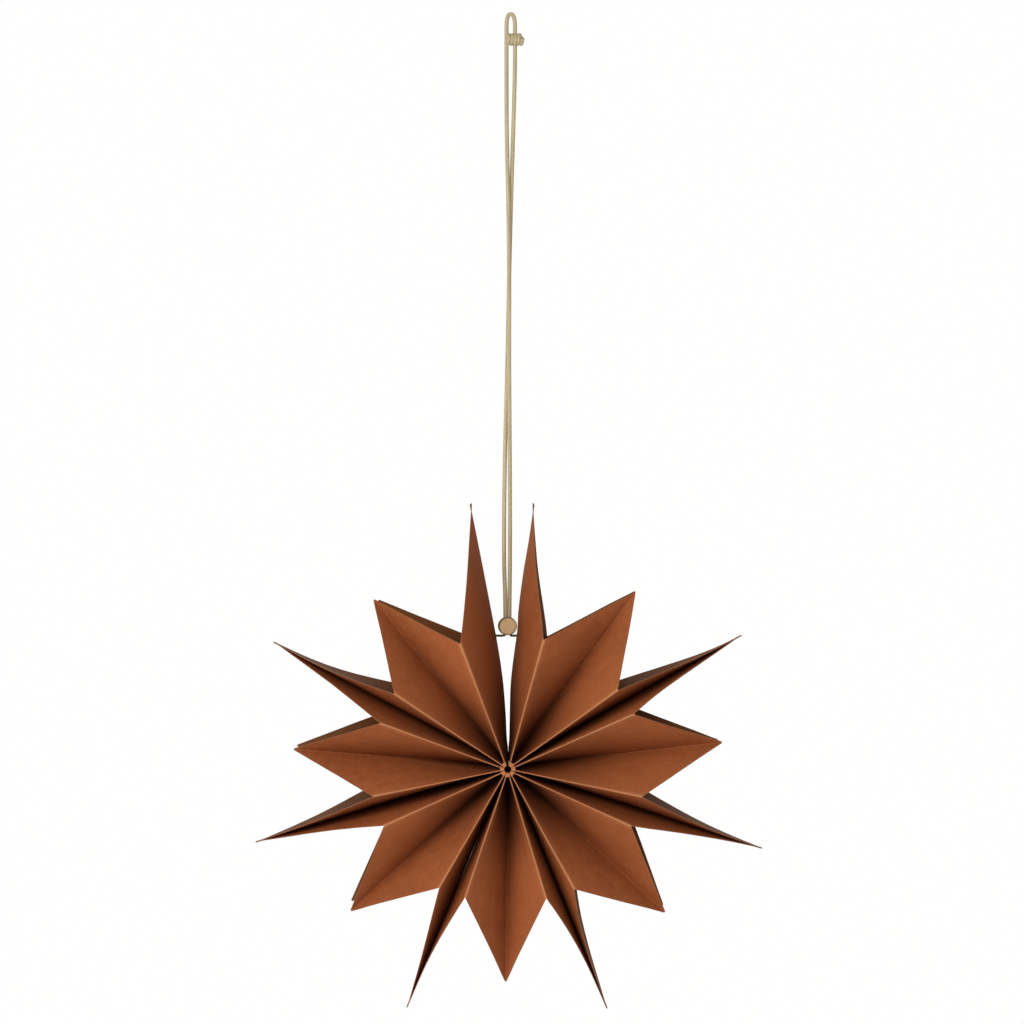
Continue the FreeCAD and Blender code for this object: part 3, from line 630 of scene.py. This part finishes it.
def wood_material():
    made, n = material("turned_wood")
    where = n.add("ShaderNodeTexCoord").outputs["Object"]
    near = n.add("ShaderNodeMapping", {"Vector": where, "Location": (0.0010, 0.0, 0.2914)}).outputs["Vector"]
    rings = n.add("ShaderNodeTexWave", {"Vector": n.stretched(near, (1.0, 0.18, 0.62)), "Scale": 260.0, "Distortion": 5.5, "Detail": 3.0, "Detail Scale": 1.6},
                  wave_type="BANDS", bands_direction="X").outputs["Fac"]
    pores = n.noise(n.stretched(near, (2600.0, 900.0, 500.0)), 1.0, 3.0, 0.6)
    cloud = n.noise(near, 260.0, 2.0, 0.5)
    base = n.mix(n.ramp(rings, 0.1, 0.9), WOOD_LIGHT, WOOD_MID)
    base = n.mix(n.ramp(cloud, 0.35, 0.7, 0.0, 0.5), base, WOOD_GOLD)
    base = n.mix(n.ramp(pores, 0.52, 0.75, 0.0, 0.5), base, WOOD_DARK)
    # the turned side is darker than the cut face, which stands a little low and to the right
    flat = n.add("ShaderNodeVectorMath", {0: near, 1: (1.0, 0.0, 1.0)}, operation="MULTIPLY").outputs["Vector"]
    radial = n.add("ShaderNodeVectorMath", {0: flat}, operation="LENGTH").outputs["Value"]
    base = n.mix(n.ramp(radial, 0.00375, 0.0046, 0.0, 0.8), base, WOOD_SIDE)
    bump = n.add("ShaderNodeBump", {"Height": n.math("ADD", rings, pores), "Strength": 0.25, "Distance": 0.00008})
    shader = n.add("ShaderNodeBsdfPrincipled", {"Base Color": base, "Roughness": n.ramp(pores, 0.3, 0.7, 0.42, 0.6), "Normal": bump.outputs["Normal"]})
    shader.inputs["Specular IOR Level"].default_value = 0.4
    n.add("ShaderNodeOutputMaterial", {"Surface": shader.outputs["BSDF"]})
    return made


WOOD_LIGHT, WOOD_MID, WOOD_GOLD, WOOD_DARK = linear(206, 176, 130), linear(196, 162, 116), linear(200, 168, 112), linear(150, 118, 78)
WOOD_SIDE = linear(88, 72, 42)
cord_mat = cord_material("waxed_cord", linear(190, 176, 140), linear(168, 152, 118), linear(116, 102, 74))
# painted shade: the tie thread is coloured dark, standing in for the shade it lies in under the bead
thread_shade_mat = cord_material("thread_dark_painted_shade", linear(92, 80, 50), linear(74, 62, 38), linear(44, 36, 22), 1.4)

line.materials.append(cord_mat)
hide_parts("hanging_cord")
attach(cord, "root")

# the knot: four close turns of the same cord, lying across the two sides, its end on the right
kx, kz = 3.0, 345.6
turns = []
count = 96
for i in range(count + 1):
    q = i / count
    a = 2 * math.pi * (4.05 * q) - 0.6
    r = 2.12 + 0.05 * math.sin(5.3 * q * 3.1)
    turns.append((kx - 3.28 + 6.45 * q + 0.10 * math.sin(a * 1.0 + 1.2), -r * math.cos(a), kz + r * 0.97 * math.sin(a)))
core = [(kx - 3.0, 0.2, kz - 0.3), (kx - 1.0, -0.2, kz + 0.2), (kx + 1.2, 0.2, kz - 0.1), (kx + 3.1, 0.0, kz + 0.2)]
knot = joined("cord_knot_turns", [tube("turns", turns, 1.02, 18), tube("core", core, 1.3, 18)], cord_mat, "cord", "cord_knot")

# the tie thread: two plies twisted together along its line, a small knot inside each end unit
th, tb = 61.2, 1.2
left, right, up = -8.05, 5.45, 64.9
corner = [(left, th), (BM - tb, th), (BM - tb, up), (BM + tb, up), (BM + tb, th), (right, th)]
middle_line = []
for i, (x, z) in enumerate(corner):
    if i in (0, len(corner) - 1):
        middle_line.append(Vector((x, 0, z)))
        continue
    here, before, after = Vector((x, 0, z)), Vector((corner[i - 1][0], 0, corner[i - 1][1])), Vector((corner[i + 1][0], 0, corner[i + 1][1]))
    a, b = here + (before - here).normalized() * 1.15, here + (after - here).normalized() * 1.15
    for q in (0.0, 0.2, 0.4, 0.6, 0.8, 1.0):
        middle_line.append(a * (1 - q) ** 2 + here * 2 * q * (1 - q) + b * q * q)


def resample(points, step):
    out, left_over = [points[0].copy()], 0.0
    for a, b in zip(points, points[1:]):
        length = (b - a).length
        at = step - left_over
        while at < length:
            out.append(a.lerp(b, at / length))
            at += step
        left_over = length - (at - step)
    out.append(points[-1].copy())
    return out


fine = resample(middle_line, 0.16)
plies = []
for phase in (0.0, math.pi):
    side = Vector((0, 1, 0))
    path = []
    for i, p in enumerate(fine):
        along = (fine[min(i + 1, len(fine) - 1)] - fine[max(i - 1, 0)]).normalized()
        other = along.cross(side).normalized()
        a = phase + i * 0.16 / 2.6 * 2 * math.pi
        path.append(p + (side * math.cos(a) + other * math.sin(a)) * 0.25)
    plies.append(tube("ply", path, 0.38, 10))
for x in (left, right):
    loop = []
    for i in range(61):
        a = 2 * math.pi * i / 60 * 0.97
        big = 0.62 + 0.30 * math.cos(3 * a)
        loop.append((x + 0.26 * math.sin(3 * a), big * math.cos(2 * a), th + big * math.sin(2 * a)))
    plies.append(tube("end", loop, 0.40, 10))
thread = joined("tie_thread_twist", plies, thread_shade_mat, "thread", "tie_thread")

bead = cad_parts["bead"]
wood = wood_material()
for k in range(max(1, len(bead.material_slots))):
    if not bead.material_slots:
        bead.data.materials.append(wood)
    bead.material_slots[k].material = wood


# ------------------------------------------------------------------------------------ floor and light
def floor_piece():
    made, n = material("pale_floor")
    where = n.add("ShaderNodeTexCoord").outputs["Object"]
    cloud = n.noise(where, 1.6, 3.0, 0.5)
    base = n.mix(n.ramp(cloud, 0.3, 0.7), (0.86, 0.86, 0.855), (0.89, 0.89, 0.885))
    shader = n.add("ShaderNodeBsdfPrincipled", {"Base Color": base, "Roughness": 0.8})
    n.add("ShaderNodeOutputMaterial", {"Surface": shader.outputs["BSDF"]})
    mesh = bpy.data.meshes.new("floor")
    ring = [(5.0 * math.cos(2 * math.pi * k / 96), 5.0 * math.sin(2 * math.pi * k / 96), -0.95) for k in range(96)]
    mesh.from_pydata(ring, [], [tuple(range(96))])
    mesh.materials.append(made)
    obj = bpy.data.objects.new("floor", mesh)
    scene.collection.objects.link(obj)


floor_piece()

ROOM = 0.42
world = bpy.data.worlds.new("studio")
world.use_nodes = True
w = Nodes(world)
# a white backdrop behind the star, a dimmer room in front of it
ahead = w.add("ShaderNodeSeparateXYZ", {"Vector": w.add("ShaderNodeTexCoord").outputs["Generated"]}).outputs["Y"]
sky = w.add("ShaderNodeBackground", {"Color": (1.0, 0.998, 0.994, 1.0), "Strength": w.ramp(ahead, -0.25, 0.45, ROOM, 1.0)})
w.add("ShaderNodeOutputWorld", {"Surface": sky.outputs["Background"]})
scene.world = world


def softbox(name, place, target, wide, high, power, colour=(1, 1, 1)):
    data = bpy.data.lights.new(name, "AREA")
    data.shape = "RECTANGLE"
    data.size, data.size_y = wide, high
    data.energy = power
    data.color = colour
    obj = bpy.data.objects.new(name, data)
    scene.collection.objects.link(obj)
    obj.location = place
    obj.rotation_mode = "QUATERNION"
    obj.rotation_quaternion = (Vector(target) - Vector(place)).to_track_quat("-Z", "Y")
    return obj


centre = (-0.00083, 0.0, -0.3567)
softbox("key", (-0.75, -1.65, 0.22), centre, 3.0, 0.6, 34.0, (1.0, 0.985, 0.96))
scene.view_settings.view_transform = "Standard"
scene.view_settings.look = "None"
scene.view_settings.exposure = 0.0
scene.view_settings.gamma = 1.0

# painted shade: each unit is painted darker near the middle of the star, by a share of its own
HUB_SHADE_BY_UNIT = {1: 0.65, 2: 0.3, 3: 0.85, 4: 1.36, 5: 1.05, 6: 0.45, 7: 0.85}
hub_shaded_units = [o for o in bpy.data.objects if o.type == "MESH" and o.data.materials and o.data.materials[0] is not None and o.data.materials[0].name == "folded_paper"]
for each in hub_shaded_units:
    each["hub_shade_share"] = HUB_SHADE_BY_UNIT[int(each.name[-1])]
assert len(hub_shaded_units) == 7
